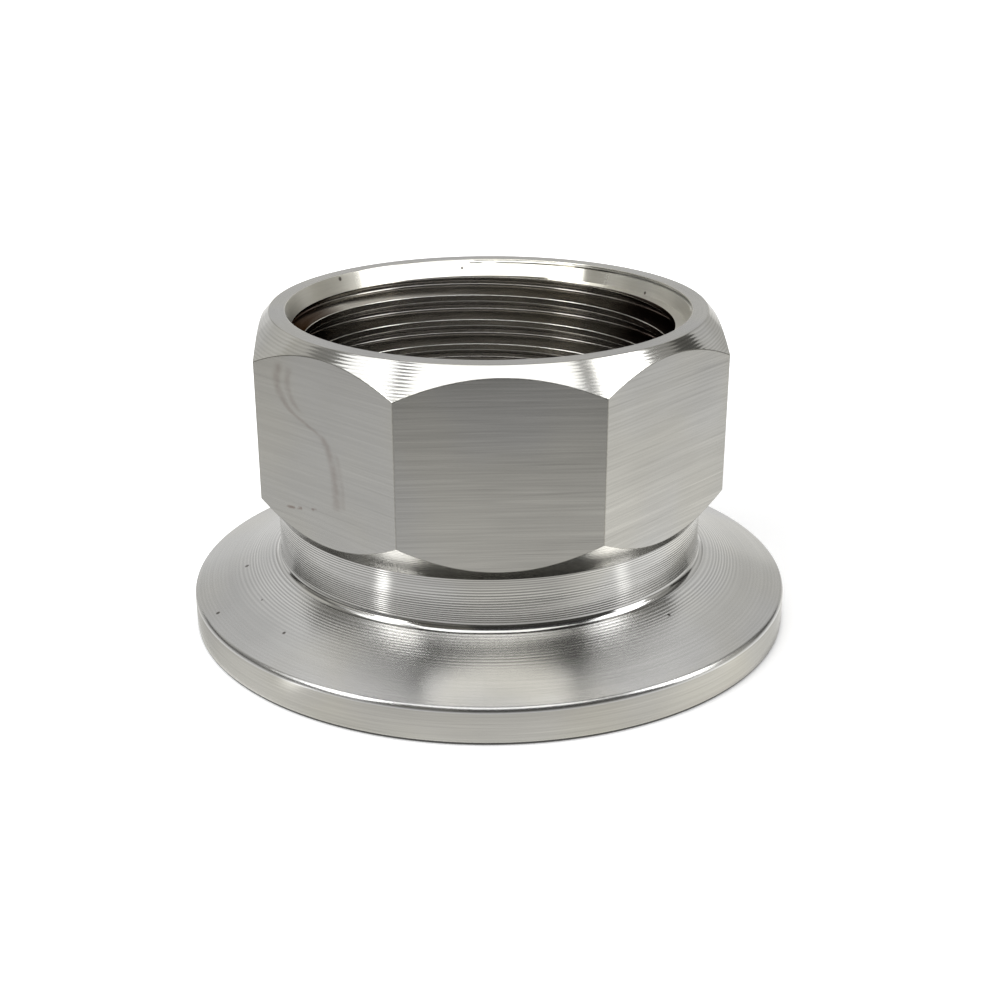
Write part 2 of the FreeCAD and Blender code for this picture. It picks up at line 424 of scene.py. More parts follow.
def stitch(a, b):
    """Pairs steps between two bore columns so that near spots are joined."""
    reach = abs(len(a) - len(b)) + STITCH_REACH
    endless = float("inf")
    best = {(0, 0): (0.0, None)}
    for i in range(len(a)):
        for j in range(max(0, i - reach), min(len(b), i + reach + 1)):
            if i == 0 and j == 0:
                continue
            gap = (a[i].r - b[j].r) ** 2 + (a[i].z - b[j].z) ** 2
            up = best.get((i - 1, j), (endless,))[0]
            across = best.get((i, j - 1), (endless,))[0]
            if up <= across:
                best[i, j] = (up + gap, (i - 1, j))
            else:
                best[i, j] = (across + gap, (i, j - 1))
    path, at = [], (len(a) - 1, len(b) - 1)
    while at is not None:
        path.append(at)
        at = best[at][1]
    return path[::-1]


def azimuths():
    """The columns: even steps on each flat and close ones at each corner."""
    found = []
    for flat in range(FLATS):
        corner = flat * 2 * HALF_FLAT - HALF_FLAT
        found += [corner + step for step in CORNER_COLUMNS]
        start = corner + CORNER_COLUMNS[-1]
        width = 2 * (HALF_FLAT - CORNER_COLUMNS[-1])
        found += [start + width * i / FLAT_COLUMNS for i in range(1, FLAT_COLUMNS)]
    return found


def closest(spot, normal):
    """The one of a spot's two normals that suits a face best."""
    if spot.before.dot(normal) >= spot.after.dot(normal):
        return spot.before
    return spot.after


def turned(normal, swing):
    """A normal carried round the axis by an angle."""
    c, s = cos(swing), sin(swing)
    return Vector((normal.x * c - normal.y * s, normal.x * s + normal.y * c, normal.z))


def build_skin():
    """The whole adapter in one closed mesh, thread included."""
    steps = azimuths()
    columns = [column(azimuth) for azimuth in steps]
    vertices, first = [], []
    for azimuth, (spots, _) in zip(steps, columns):
        first.append(len(vertices))
        # The last spot is the first one again: the outline is closed.
        for spot in spots[:-1]:
            vertices.append(
                (
                    spot.r * sin(azimuth) * MM,
                    -spot.r * cos(azimuth) * MM,
                    spot.z * MM,
                )
            )

    def index(col, row):
        return first[col] + row % (len(columns[col][0]) - 1)

    faces, zones, normals = [], [], []
    count = len(steps)
    for i in range(count):
        j = (i + 1) % count
        swing = (steps[j] - steps[i]) % 360.0
        (a, a_bore), (b, b_bore) = columns[i], columns[j]
        path = stitch(a[:a_bore], b[:b_bore])
        for (p, q), (p2, q2) in zip(path, path[1:]):
            if p2 > p:
                facing = (a[p].after + a[p2].before) / 2
                far = closest(b[q], turned(facing, swing))
                faces.append((index(i, p), index(i, p2), index(j, q)))
                normals += [a[p].after, a[p2].before, far]
                zones.append(a[p].zone)
            else:
                facing = (b[q].after + b[q2].before) / 2
                near = closest(a[p], turned(facing, -swing))
                faces.append((index(i, p), index(j, q2), index(j, q)))
                normals += [near, b[q2].before, b[q].after]
                zones.append(b[q].zone)
        rows = len(a) - a_bore
        for row in range(rows):
            p, q = a_bore - 1 + row, b_bore - 1 + row
            faces.append(
                (index(i, p), index(i, p + 1), index(j, q + 1), index(j, q))
            )
            normals += [a[p].after, a[p + 1].before, b[q + 1].before, b[q].after]
            corner = a[p].zone == ZONE["flats"] and swing < CORNER_STEP
            zones.append(ZONE["corner"] if corner else a[p].zone)

    mesh = bpy.data.meshes.new("adapter_skin")
    mesh.from_pydata(vertices, [], faces)
    mesh.polygons.foreach_set("material_index", zones)
    mesh.polygons.foreach_set("use_smooth", [True] * len(faces))
    mesh.normals_split_custom_set([tuple(normal) for normal in normals])
    mesh.update()
    skin = bpy.data.objects.new("adapter_skin", mesh)
    bpy.context.collection.objects.link(skin)
    return skin


# Materials


SCALAR_RESULTS = ("LENGTH", "DISTANCE", "DOT_PRODUCT")


class Graph:
    """Short ways to add nodes to a node tree, which starts empty."""

    def __init__(self, tree):
        self.tree = tree
        self.nodes = tree.nodes
        self.nodes.clear()

    def add(self, kind, **settings):
        node = self.nodes.new(kind)
        for name, value in settings.items():
            setattr(node, name, value)
        return node

    def feed(self, socket, value):
        if isinstance(value, bpy.types.NodeSocket):
            self.tree.links.new(value, socket)
        elif value is not None:
            socket.default_value = value

    def math(self, operation, *values, clamp=False):
        node = self.add("ShaderNodeMath", operation=operation, use_clamp=clamp)
        for socket, value in zip(node.inputs, values):
            self.feed(socket, value)
        return node.outputs[0]

    def vector(self, operation, *values, scale=None):
        node = self.add("ShaderNodeVectorMath", operation=operation)
        for socket, value in zip(node.inputs, values):
            self.feed(socket, value)
        if scale is not None:
            self.feed(node.inputs["Scale"], scale)
        return node.outputs["Value" if operation in SCALAR_RESULTS else "Vector"]

    def spread(self, value, low, high, to_low=0.0, to_high=1.0, smooth=True):
        """Carries a value from one range to another and keeps it in there."""
        node = self.add("ShaderNodeMapRange", clamp=True)
        if smooth:
            node.interpolation_type = "SMOOTHSTEP"
        for name, item in (
            ("Value", value),
            ("From Min", low),
            ("From Max", high),
            ("To Min", to_low),
            ("To Max", to_high),
        ):
            self.feed(node.inputs[name], item)
        return node.outputs["Result"]

    def noise(self, vector, w, scale, detail=2.0, rough=0.5):
        node = self.add("ShaderNodeTexNoise", noise_dimensions="4D")
        self.feed(node.inputs["Vector"], vector)
        self.feed(node.inputs["W"], w)
        node.inputs["Scale"].default_value = scale
        node.inputs["Detail"].default_value = detail
        node.inputs["Roughness"].default_value = rough
        return node.outputs["Fac"]

    def mix(self, share, a, b):
        node = self.add("ShaderNodeMix", data_type="RGBA")
        self.feed(node.inputs["Factor"], share)
        self.feed(node.inputs[6], a)
        self.feed(node.inputs[7], b)
        return node.outputs[2]


def grey(level, warm=0.0):
    """A grey, warmer for a positive second number and bluer for a negative."""
    return (level * (1 + 0.4 * warm), level * (1 + 0.1 * warm), level * (1 - warm), 1.0)


# Look of each zone. across is the direction that the tool marks repeat in, marks
# their number in a millimetre, along how often they change on their way round,
# line the strength of their shade, and bump their depth in micrometres. feed is
# the depth of the wave that the feed leaves, tone its shade and pitch its step
# in millimetres. glance is the tint where the light only grazes.
PLAIN_LOOK = dict(across="z", marks=6, feed=0, glance=1.0, tone=0, pitch=0.2)
LOOKS = {
    "thread": dict(
        PLAIN_LOOK, base=0.6, warm=0.06, rough=0.18, bump=4, marks=7, along=3,
        line=0.12,
    ),
    "thread_crest": dict(
        PLAIN_LOOK, base=0.6, warm=0.06, rough=0.2, bump=4, marks=7, along=4, line=0.1,
    ),
    "thread_edge": dict(
        PLAIN_LOOK, base=0.75, warm=0.04, rough=0.22, bump=1, marks=7, along=4,
        line=0.05,
    ),
    "thread_root": dict(
        PLAIN_LOOK, base=0.5, warm=0.04, rough=0.16, bump=1, marks=7, along=4,
        line=0.05,
    ),
    # The cut's upper flank is near black: a painted shadow.
    "groove": dict(
        PLAIN_LOOK, base=0.06, warm=0.04, rough=0.2, bump=1, marks=7, along=4,
        line=0.05,
    ),
    "core": dict(
        PLAIN_LOOK, base=0.2, warm=0.14, rough=0.3, bump=3, along=4, line=0.1,
    ),
    # The rounded edges are darker than the faces they join: a painted dark line of shade
    # along them.
    "edge": dict(
        PLAIN_LOOK, base=0.44, warm=0.05, rough=0.24, bump=1, along=4, line=0.1,
    ),
    "mouth": dict(
        PLAIN_LOOK, base=0.62, warm=0.05, rough=0.13, bump=2, along=6, line=0.03,
    ),
    "ring": dict(
        PLAIN_LOOK, base=0.47, warm=0.02, rough=0.22, bump=3, across="r", along=4,
        line=0.03,
    ),
    "crown": dict(
        PLAIN_LOOK, base=0.62, warm=0.03, rough=0.13, bump=3, along=3, line=0.04,
        feed=2.0, glance=0.8, tone=0.1,
    ),
    "flats": dict(
        PLAIN_LOOK, base=0.61, warm=0.03, rough=0.2, bump=2, along=2, line=0.06,
    ),
    # The cone under the flats is darker than the other faces: painted shade.
    "underside": dict(
        PLAIN_LOOK, base=0.3, warm=0.05, rough=0.15, bump=1.5, along=3, line=0.06,
        feed=1.0, tone=0.1,
    ),
    "neck": dict(
        PLAIN_LOOK, base=0.58, warm=0.02, rough=0.14, bump=2, along=2, line=0.06,
        feed=3.2, tone=0.4,
    ),
    "slope": dict(
        PLAIN_LOOK, base=0.62, warm=0.01, rough=0.24, bump=0.8, across="r", marks=4,
        along=2, line=0.018, feed=3.2, glance=0.9, tone=0.24, pitch=0.28,
    ),
    "rim": dict(
        PLAIN_LOOK, base=0.48, warm=0.06, rough=0.2, bump=3, along=3, line=0.04,
        glance=0.62,
    ),
    # The lower rounding of the rim is near black: a painted contact shadow.
    "rim_foot": dict(
        PLAIN_LOOK, base=0.06, warm=0.05, rough=0.3, bump=1, along=3, line=0.04,
    ),
    "clamp_face": dict(
        PLAIN_LOOK, base=0.6, warm=0.04, rough=0.2, bump=4, across="r", along=3,
        line=0.05, feed=1.5, tone=0.1, pitch=0.28,
    ),
    "corner": dict(
        PLAIN_LOOK, base=0.52, warm=0.05, rough=0.24, bump=1, along=4, line=0.06,
    ),
    "passage": dict(
        PLAIN_LOOK, base=0.5, warm=0.05, rough=0.25, bump=3, along=3, line=0.05,
    ),
}
ANISOTROPY = 0.6
QUARTER_TURN = 0.25

# On the sloped back, the feed's marks fade outwards between these radii and the
# shade lightens inwards.
SLOPE_FEED_FADE = (19.5, 22.5)
SLOPE_FEED_OUTER = 0.12
SLOPE_INNER_LIGHT = 0.12

# The mouth's wall is less polished at its left and right.
MOUTH_SIDES = (0.62, 0.75)
MOUTH_SIDE_BLUR = 0.25

# Even darkening of the thread, and painted shade that darkens its left and right
# further and takes the tint out of their grazing reflection: where the level
# unit direction's X fades from one to the other.
THREAD_PAINTED_SHADE = 0.82
THREAD_PAINTED_SHADE_LEFT = (-0.93, -0.69)
THREAD_PAINTED_SHADE_RIGHT = (0.60, 0.86)
THREAD_DARK = (0.06, 0.03, 0.022, 1.0)
THREAD_EVEN_DARKENING = 0.34

# Dried water mark on the left front flat: its middle line as height and place
# along the flat, both ends first, and its bands as shift, width, strength, lowest
# and highest.
STAIN_FACE = (-sin(45), -cos(45), 0.0)
STAIN_ALONG = (cos(45), -sin(45), 0.0)
STAIN_LEVELS = (12.0, 26.0)
STAIN_REACH = 6.0
STAIN_END_FADE = 0.6
STAIN_GRAIN = 1.6
STAIN_LINE = (
    (12.0, 1.2), (26.0, -4.2), (14.0, 1.3), (15.7, 1.31), (17.4, 1.1), (18.5, 0.75),
    (19.5, 0.1), (20.0, -1.03), (20.5, -2.32), (21.1, -3.62), (22.1, -4.57),
    (23.1, -4.9), (24.2, -4.65),
)
STAIN_BANDS = (
    (0.0, 0.7, 0.27, 13.8, 24.8),
    (1.2, 0.6, 0.20, 20.8, 24.6),
    (0.75, 0.4, 0.13, 14.0, 19.0),
)
STAIN_COLOUR = (0.24, 0.16, 0.13, 1.0)
# Its broken foot rises along the flat: shift, slope and height of its line, half
# width and strength, and the fades at its ends.
STAIN_FOOT_LINE = (0.8, 0.18, 13.55)
STAIN_FOOT_WIDTH = 0.2
STAIN_FOOT_STRENGTH = 0.6
STAIN_FOOT_ENDS = ((-5.0, -4.2, 0.0, 1.0), (-0.9, -0.5, 1.0, 0.0))
STAIN_FOOT_BREAKS = (0.45, 0.6)
STAIN_RAGGED = (0.3, 0.6, 0.6, 1.1)
STAINED_FLAT_MARKS = 0.5

# Small dark specks: zone, place and radius. Each is darkest up to SPECK_CORE of
# its radius.
SPECKS = (
    ("slope", (-20.67, -2.59, 4.61), 0.24),
    ("slope", (-22.39, -9.08, 3.39), 0.22),
    ("slope", (-16.59, -14.5, 4.17), 0.18),
    ("slope", (13.39, -14.56, 4.98), 0.18),
    ("slope", (-18.77, -9.28, 4.56), 0.12),
    ("mouth", (-12.61, 10.51, 26.13), 0.24),
    ("mouth", (14.0, 7.98, 25.15), 0.18),
    ("mouth", (-1.74, 16.18, 25.69), 0.16),
)
SPECK_COLOUR = (0.05, 0.035, 0.03, 1.0)
SPECK_CORE = 0.5
SPECK_STRENGTH = 0.85

# Tool marks. A noise keeps mostly within NOISE_SPAN, and only its rare peaks
# reach NOISE_PEAKS. Broad bands and streaks take their number as a share of the
# zone's marks and their strength as a share of its line.
NOISE_SPAN = (0.3, 0.7)
NOISE_PEAKS = (0.60, 0.72)
BAND_MARKS, BAND_LINE = 0.12, 0.5
STREAK_MARKS, DARK_LINE, LIGHT_LINE = 0.6, 1.6, 1.4
BLOTCH_SHADE = 0.04
FEED_DRIFT = 3.0
FEED_LEAST = 0.3
BLOTCH_GRAIN = 0.12
HUE_GRAIN = 0.09
HUE_SPAN = (0.4, 0.62)
HUE_WARMER = 0.035
ROUGH_CHANGE = 0.015
STREAK_CUT = 0.5
# A point this near the plane of the stained flat lies on it.
FLAT_NEAR = 0.1


def stain(g, mm):
    """Strength of the dried water mark on the left front flat."""
    u = g.vector("DOT_PRODUCT", mm, STAIN_ALONG)
    parts = g.add("ShaderNodeSeparateXYZ")
    g.feed(parts.inputs[0], mm)
    z = parts.outputs["Z"]
    bend = g.add("ShaderNodeFloatCurve")
    curve = bend.mapping.curves[0]
    low, high = STAIN_LEVELS
    for index, (height, place) in enumerate(STAIN_LINE):
        aside = (place + STAIN_REACH) / (2 * STAIN_REACH)
        spot = ((height - low) / (high - low), aside)
        if index < 2:
            curve.points[index].location = spot
        else:
            curve.points.new(*spot)
    bend.mapping.update()
    share = g.math("DIVIDE", g.math("SUBTRACT", z, low), high - low)
    g.feed(bend.inputs["Value"], share)
    middle = g.math("MULTIPLY_ADD", bend.outputs[0], 2 * STAIN_REACH, -STAIN_REACH)
    ragged = g.noise(g.vector("SCALE", mm, scale=STAIN_GRAIN), 5.0, 1.0, 2.0)
    off = g.math("SUBTRACT", u, middle)
    total = 0.0
    for shift, width, strength, start, end in STAIN_BANDS:
        apart = g.math("ABSOLUTE", g.math("SUBTRACT", off, shift))
        band = g.spread(apart, 0.0, width, strength, 0.0)
        window = g.math(
            "MULTIPLY",
            g.spread(z, start, start + STAIN_END_FADE),
            g.spread(z, end - STAIN_END_FADE, end, 1.0, 0.0),
        )
        total = g.math("ADD", total, g.math("MULTIPLY", band, window))
    shift, slope, height = STAIN_FOOT_LINE
    rise = g.math("MULTIPLY_ADD", g.math("ADD", u, shift), slope, height)
    apart = g.math("ABSOLUTE", g.math("SUBTRACT", z, rise))
    mark = g.spread(apart, 0.0, STAIN_FOOT_WIDTH, STAIN_FOOT_STRENGTH, 0.0)
    for edge in STAIN_FOOT_ENDS:
        mark = g.math("MULTIPLY", mark, g.spread(u, *edge))
    mark = g.math("MULTIPLY", mark, g.spread(ragged, *STAIN_FOOT_BREAKS))
    total = g.math("ADD", total, mark)
    return g.math("MULTIPLY", total, g.spread(ragged, *STAIN_RAGGED))


def metal(zone):
    """Turned or milled stainless steel for one zone of the skin."""
    look = LOOKS[zone]
    material = bpy.data.materials.new("stainless_" + zone)
    material.use_nodes = True
    g = Graph(material.node_tree)
    place = g.add("ShaderNodeTexCoord").outputs["Object"]
    mm = g.vector("SCALE", place, scale=1.0 / MM)
    parts = g.add("ShaderNodeSeparateXYZ")
    g.feed(parts.inputs[0], mm)
    level = g.vector("MULTIPLY", mm, (1.0, 1.0, 0.0))
    direction = g.vector("NORMALIZE", level)
    radius = g.vector("LENGTH", level)
    across = radius if look["across"] == "r" else parts.outputs["Z"]

    def lines(along, count, seed, detail=2.0, rough=0.6):
        """Marks round the axis: count of them in a millimetre."""
        w = g.math("MULTIPLY_ADD", across, count, seed)
        return g.noise(g.vector("SCALE", direction, scale=along), w, 1.0, detail, rough)

    fine = lines(look["along"], look["marks"], 0.0, 1.0)
    bands = lines(0.8, look["marks"] * BAND_MARKS, 40.0)
    dark = lines(1.6, look["marks"] * STREAK_MARKS, 80.0, 1.0)
    light = lines(1.6, look["marks"] * STREAK_MARKS, 120.0, 1.0)
    blotch = g.noise(g.vector("SCALE", mm, scale=BLOTCH_GRAIN), 3.0, 1.0, 2.0)
    hue = g.noise(g.vector("SCALE", mm, scale=HUE_GRAIN), 9.0, 1.0, 2.0)

    line = look["line"]
    shade = g.spread(fine, *NOISE_SPAN, -line, line)
    for value in (
        g.spread(bands, *NOISE_SPAN, -BAND_LINE * line, BAND_LINE * line),
        g.spread(dark, *NOISE_PEAKS, 0.0, -DARK_LINE * line),
        g.spread(light, *NOISE_PEAKS, 0.0, LIGHT_LINE * line),
        g.spread(blotch, *NOISE_SPAN, -BLOTCH_SHADE, BLOTCH_SHADE),
    ):
        shade = g.math("ADD", shade, value)
    if look["feed"]:
        drift = lines(0.7, 0.5, 160.0, 0.0)
        turns = g.math("DIVIDE", across, look["pitch"])
        phase = g.math("MULTIPLY_ADD", drift, FEED_DRIFT, turns)
        wave = g.math("SINE", g.math("MULTIPLY", phase, 2 * math.pi))
        depth = g.spread(lines(1.2, 0.8, 200.0, 0.0), *NOISE_SPAN, FEED_LEAST, 1.0)
        wave = g.math("MULTIPLY", wave, depth)
        if zone == "slope":
            outer = g.spread(radius, *SLOPE_FEED_FADE, 1.0, SLOPE_FEED_OUTER)
            wave = g.math("MULTIPLY", wave, outer)
            inner = g.spread(radius, *SLOPE_FEED_FADE, SLOPE_INNER_LIGHT, 0.0)
            shade = g.math("ADD", shade, inner)
        shade = g.math("MULTIPLY_ADD", wave, look["tone"], shade)
    if zone == "flats":
        side = g.vector("DOT_PRODUCT", mm, STAIN_FACE)
        left = g.math("GREATER_THAN", side, FLAT_R - FLAT_NEAR)
        marks = g.spread(left, 0.0, 1.0, 1.0, STAINED_FLAT_MARKS, False)
        shade = g.math("MULTIPLY", shade, marks)
    base, warm = look["base"], look["warm"]
    share = g.math("MULTIPLY_ADD", shade, 0.5, 0.5, clamp=True)
    plain = g.mix(share, grey(0.0), grey(base * 2, warm))
    tinted = g.mix(share, grey(0.0), grey(base * 2, warm + HUE_WARMER))
    colour = g.mix(g.spread(hue, *HUE_SPAN), plain, tinted)

    change = g.spread(bands, *NOISE_SPAN, -ROUGH_CHANGE, ROUGH_CHANGE)
    rough = g.math("ADD", look["rough"], change)
    sides = g.add("ShaderNodeSeparateXYZ")
    g.feed(sides.inputs[0], direction)
    if zone == "mouth":
        flank = g.spread(g.math("ABSOLUTE", sides.outputs["X"]), *MOUTH_SIDES)
        rough = g.math("MULTIPLY_ADD", flank, MOUTH_SIDE_BLUR, rough)
    tint = grey(look["glance"])
    # Painted shade: the thread is darkened evenly, and more at its left and right, where
    # the tint of its grazing reflection is taken away too.
    if zone in ("thread", "thread_crest", "thread_root"):
        painted_shade = g.math(
            "ADD",
            g.spread(sides.outputs["X"], *THREAD_PAINTED_SHADE_LEFT, THREAD_PAINTED_SHADE, 0.0),
            g.spread(sides.outputs["X"], *THREAD_PAINTED_SHADE_RIGHT, 0.0, THREAD_PAINTED_SHADE),
        )
        darkening = g.math("MAXIMUM", painted_shade, THREAD_EVEN_DARKENING)
        colour = g.mix(darkening, colour, THREAD_DARK)
        tint = g.mix(painted_shade, grey(1.0), grey(0.0))
    if zone == "flats":
        colour = g.mix(g.math("MULTIPLY", left, stain(g, mm)), colour, STAIN_COLOUR)
    for name, centre, size in SPECKS:
        if name == zone:
            apart = g.vector("DISTANCE", mm, centre)
            speck = g.spread(apart, SPECK_CORE * size, size, SPECK_STRENGTH, 0.0)
            colour = g.mix(speck, colour, SPECK_COLOUR)

    bump = g.add("ShaderNodeBump")
    bump.inputs["Strength"].default_value = 1.0
    bump.inputs["Distance"].default_value = look["bump"] * MICROMETRE
    height = g.math("ADD", fine, g.math("MULTIPLY", dark, -STREAK_CUT))
    if look["feed"]:
        height = g.math("MULTIPLY_ADD", wave, look["feed"] / look["bump"], height)
    g.feed(bump.inputs["Height"], height)

    tangent = g.add("ShaderNodeTangent", direction_type="RADIAL", axis="Z")
    shader = g.add("ShaderNodeBsdfPrincipled")
    shader.inputs["Metallic"].default_value = 1.0
    shader.inputs["Anisotropic"].default_value = ANISOTROPY
    shader.inputs["Anisotropic Rotation"].default_value = QUARTER_TURN
    g.feed(shader.inputs["Base Color"], colour)
    g.feed(shader.inputs["Specular Tint"], tint)
    g.feed(shader.inputs["Roughness"], rough)
    g.feed(shader.inputs["Normal"], bump.outputs[0])
    g.feed(shader.inputs["Tangent"], tangent.outputs[0])
    out = g.add("ShaderNodeOutputMaterial")
    g.feed(out.inputs["Surface"], shader.outputs[0])
    return material


# Stage


def shown_background(g):
    """1 for rays that show the background: camera, glossy and transmission."""
    path = g.add("ShaderNodeLightPath")
    total = g.math("ADD", path.outputs["Is Camera Ray"], path.outputs["Is Glossy Ray"])
    return g.math("ADD", total, path.outputs["Is Transmission Ray"], clamp=True)


# The floor glows where it is seen, so that it shows white: from the flange's rim
# outwards, less at its right, and more in the open. No glow under the flange
# paints a contact shadow at its rim and keeps the bore dark, and the lesser
# glow at the right paints a shadow on that side.
FLOOR_COLOUR = 0.8
FLOOR_GLOW = 0.72
FLOOR_GLOW_RIGHT = 0.42
FLOOR_RIGHT = (0.3, 0.9)
FLOOR_NEAR = (FLANGE_R - 1.0, FLANGE_R + 0.5)
FLOOR_OPEN = (30.0, 220.0)
FLOOR_OPEN_GLOW = 0.5
FLOOR_HALF = 3.0
FLOOR_DROP = 0.02


def level_radius(g):
    """Distance from the axis in millimetres, and the level unit direction."""
    place = g.add("ShaderNodeTexCoord").outputs["Object"]
    level = g.vector("MULTIPLY", place, (1.0 / MM, 1.0 / MM, 0.0))
    parts = g.add("ShaderNodeSeparateXYZ")
    g.feed(parts.inputs[0], g.vector("NORMALIZE", level))
    return g.vector("LENGTH", level), parts.outputs["X"], parts.outputs["Y"]


def glowing(g, strength, colour=(1.0, 1.0, 1.0, 1.0)):
    glow = g.add("ShaderNodeEmission")
    g.feed(glow.inputs["Color"], colour)
    g.feed(glow.inputs["Strength"], strength)
    return glow.outputs[0]


def link_mesh(name, vertices, faces, material):
    mesh = bpy.data.meshes.new(name)
    mesh.from_pydata(vertices, [], faces)
    mesh.materials.append(material)
    obj = bpy.data.objects.new(name, mesh)
    bpy.context.collection.objects.link(obj)
    return obj


def make_floor():
    """A plain pale floor that shows white and keeps the object's shadow."""
    material = bpy.data.materials.new("floor")
    material.use_nodes = True
    g = Graph(material.node_tree)
    diffuse = g.add("ShaderNodeBsdfDiffuse")
    diffuse.inputs["Color"].default_value = grey(FLOOR_COLOUR)
    radius, x, _ = level_radius(g)
    # Painted shadow: no glow under the flange, rising just past its rim, and less glow at
    # the right.
    beside = g.spread(x, *FLOOR_RIGHT, FLOOR_GLOW, FLOOR_GLOW_RIGHT)
    near = g.math("MULTIPLY", g.spread(radius, *FLOOR_NEAR), beside)
    away = g.spread(radius, *FLOOR_OPEN, 0.0, FLOOR_OPEN_GLOW)
    open_floor = g.math("ADD", near, away)
    both = g.add("ShaderNodeAddShader")
    g.feed(both.inputs[0], diffuse.outputs[0])
    g.feed(
        both.inputs[1], glowing(g, g.math("MULTIPLY", shown_background(g), open_floor))
    )
    out = g.add("ShaderNodeOutputMaterial")
    g.feed(out.inputs["Surface"], both.outputs[0])
    half = FLOOR_HALF
    corners = [(-half, -half, 0), (half, -half, 0), (half, half, 0), (-half, half, 0)]
    floor = link_mesh("floor", corners, [(0, 1, 2, 3)], material)
    floor.location.z = -FLOOR_DROP * MM
    return floor


WORLD_LIGHT = 0.30


def make_world():
    """Even studio light, and white where the background itself is seen."""
    world = bpy.data.worlds.new("studio")
    bpy.context.scene.world = world
    world.use_nodes = True
    g = Graph(world.node_tree)
    background = g.add("ShaderNodeBackground")
    background.inputs["Color"].default_value = grey(1.0)
    g.feed(
        background.inputs["Strength"],
        g.spread(shown_background(g), 0.0, 1.0, WORLD_LIGHT, 1.0, smooth=False),
    )
    out = g.add("ShaderNodeOutputWorld")
    g.feed(out.inputs["Surface"], background.outputs[0])


# Cards round the set that only the metal shows: name, azimuths, elevations,
# brightness and warmth.
CARD_DISTANCE = 0.6
CARD_STEP = 5.0
CARD_ROWS = 8
CARDS = (
    ("card_front", (-61, 61), (54, 78), 2.0, 0.0),
    ("card_camera", (-12, 61), (27, 54), 0.03, 0.0),
    ("card_camera_left", (-48, -12), (27, 54), 0.10, 0.15),
    ("card_lamp_left", (-76, -48), (31, 52), 6.5, 0.0),
    ("card_lamp_right", (66, 96), (31, 52), 5.0, 0.0),
    ("card_lamp_left_top", (-76, -48), (52, 54), 1.75, 0.0),
    ("card_lamp_right_top", (66, 96), (52, 54), 1.75, 0.0),
    ("card_gap_middle", (61, 66), (27, 54), 0.6, 0.0),
    ("card_side", (-96, -76), (31, 54), 1.75, 0.0),
    ("card_band", (-40, 50), (16, 27), 2.6, 0.0),
    ("card_band_left", (-64, -40), (10, 27), 2.4, 0.0),
    ("card_band_right", (50, 84), (9, 27), 2.4, 0.0),
    ("card_band_over_left", (-64, -48), (27, 31), 1.75, 0.0),
    ("card_band_over_right", (66, 84), (27, 31), 1.75, 0.0),
    ("card_left", (-96, -70), (54, 60), 1.75, 0.0),
    ("card_right", (70, 96), (54, 60), 1.75, 0.0),
    ("card_gap_left", (-70, -61), (54, 60), 0.7, 0.0),
    ("card_gap_right", (61, 70), (54, 60), 0.5, 0.0),
    ("card_high_left", (-126, -61), (60, 78), 0.22, 0.0),
    ("card_high_right", (61, 126), (60, 78), 0.22, 0.0),
    ("card_horizon", (-40, 50), (0, 16), 0.08, 0.0),
    ("card_horizon_left", (-71, -40), (0, 10), 0.08, 0.0),
    ("card_horizon_right", (50, 71), (0, 9), 0.08, 0.0),
    ("card_low_left", (-96, -64), (9, 31), 0.40, 0.05),
    ("card_low_right", (84, 96), (9, 31), 0.50, 0.05),
    ("card_foot_left", (-126, -71), (0, 9), 0.25, 0.05),
    ("card_foot_right", (71, 126), (0, 9), 0.35, 0.05),
    ("card_dark_left", (-113, -96), (9, 60), 0.24, 0.05),
    ("card_dark_right", (96, 113), (9, 60), 0.35, 0.05),
    ("card_side_left", (-126, -113), (9, 60), 0.50, 0.05),
    ("card_side_right", (113, 126), (9, 60), 0.10, 0.05),
    ("card_back_left", (210, 234), (0, 12.5), 0.70, 0.015),
    ("card_back_foot", (150, 210), (0, 12.5), 0.85, 0.015),
    ("card_back_right", (126, 150), (0, 12.5), 0.55, 0.015),
    ("card_back", (126, 234), (12.5, 42), 0.62, 0.015),
    ("card_back_mid", (126, 234), (42, 50), 0.76, 0.015),
    ("card_back_high", (126, 234), (50, 57), 0.90, 0.015),
    ("card_back_top", (126, 234), (57, 78), 0.98, 0.015),
    ("card_top", (0, 360), (78, 89.9), 0.32, 0.0),
)


def card_material(name, level, warm):
    material = bpy.data.materials.new(name)
    material.use_nodes = True
    g = Graph(material.node_tree)
    out = g.add("ShaderNodeOutputMaterial")
    g.feed(out.inputs["Surface"], glowing(g, 1.0, grey(level, warm)))
    return material


def hide_card(card):
    """The card shows in reflections alone."""
    card.visible_camera = False
    card.visible_diffuse = False
    card.visible_shadow = False
    return card


def make_card(name, rings, azimuth_range, material):
    """A curved card through rings of (radius, height) in metres."""
    start, end = azimuth_range
    steps = max(2, round((end - start) / CARD_STEP))
    vertices = []
    for step in range(steps + 1):
        azimuth = start + (end - start) * step / steps
        for radius, z in rings:
            vertices.append((radius * sin(azimuth), -radius * cos(azimuth), z))
    rows = len(rings)
    faces = []
    for step in range(steps):
        for row in range(rows - 1):
            a = step * rows + row
            faces.append((a, a + 1, a + 1 + rows, a + rows))
    return hide_card(link_mesh(name, vertices, faces, material))


# The floor card's brightness: beside the rim, then the fall to the neck's
# reflection and the fall to that of the flats, for each side.
FLOOR_CARD_NEAR = {"back": 1.0, "front": 0.88, "left": 1.0, "right": 1.2}
FLOOR_CARD_MID = {"back": 0.8, "front": 0.52, "left": 0.58, "right": 0.78}
FLOOR_CARD_FAR = {"back": 1.0, "front": 0.32, "left": 0.55, "right": 0.66}
FLOOR_CARD_SPAN = (25.6, 38.0, 42.0, 100.0, 600.0)
FLOOR_CARD_LIFT = 0.1
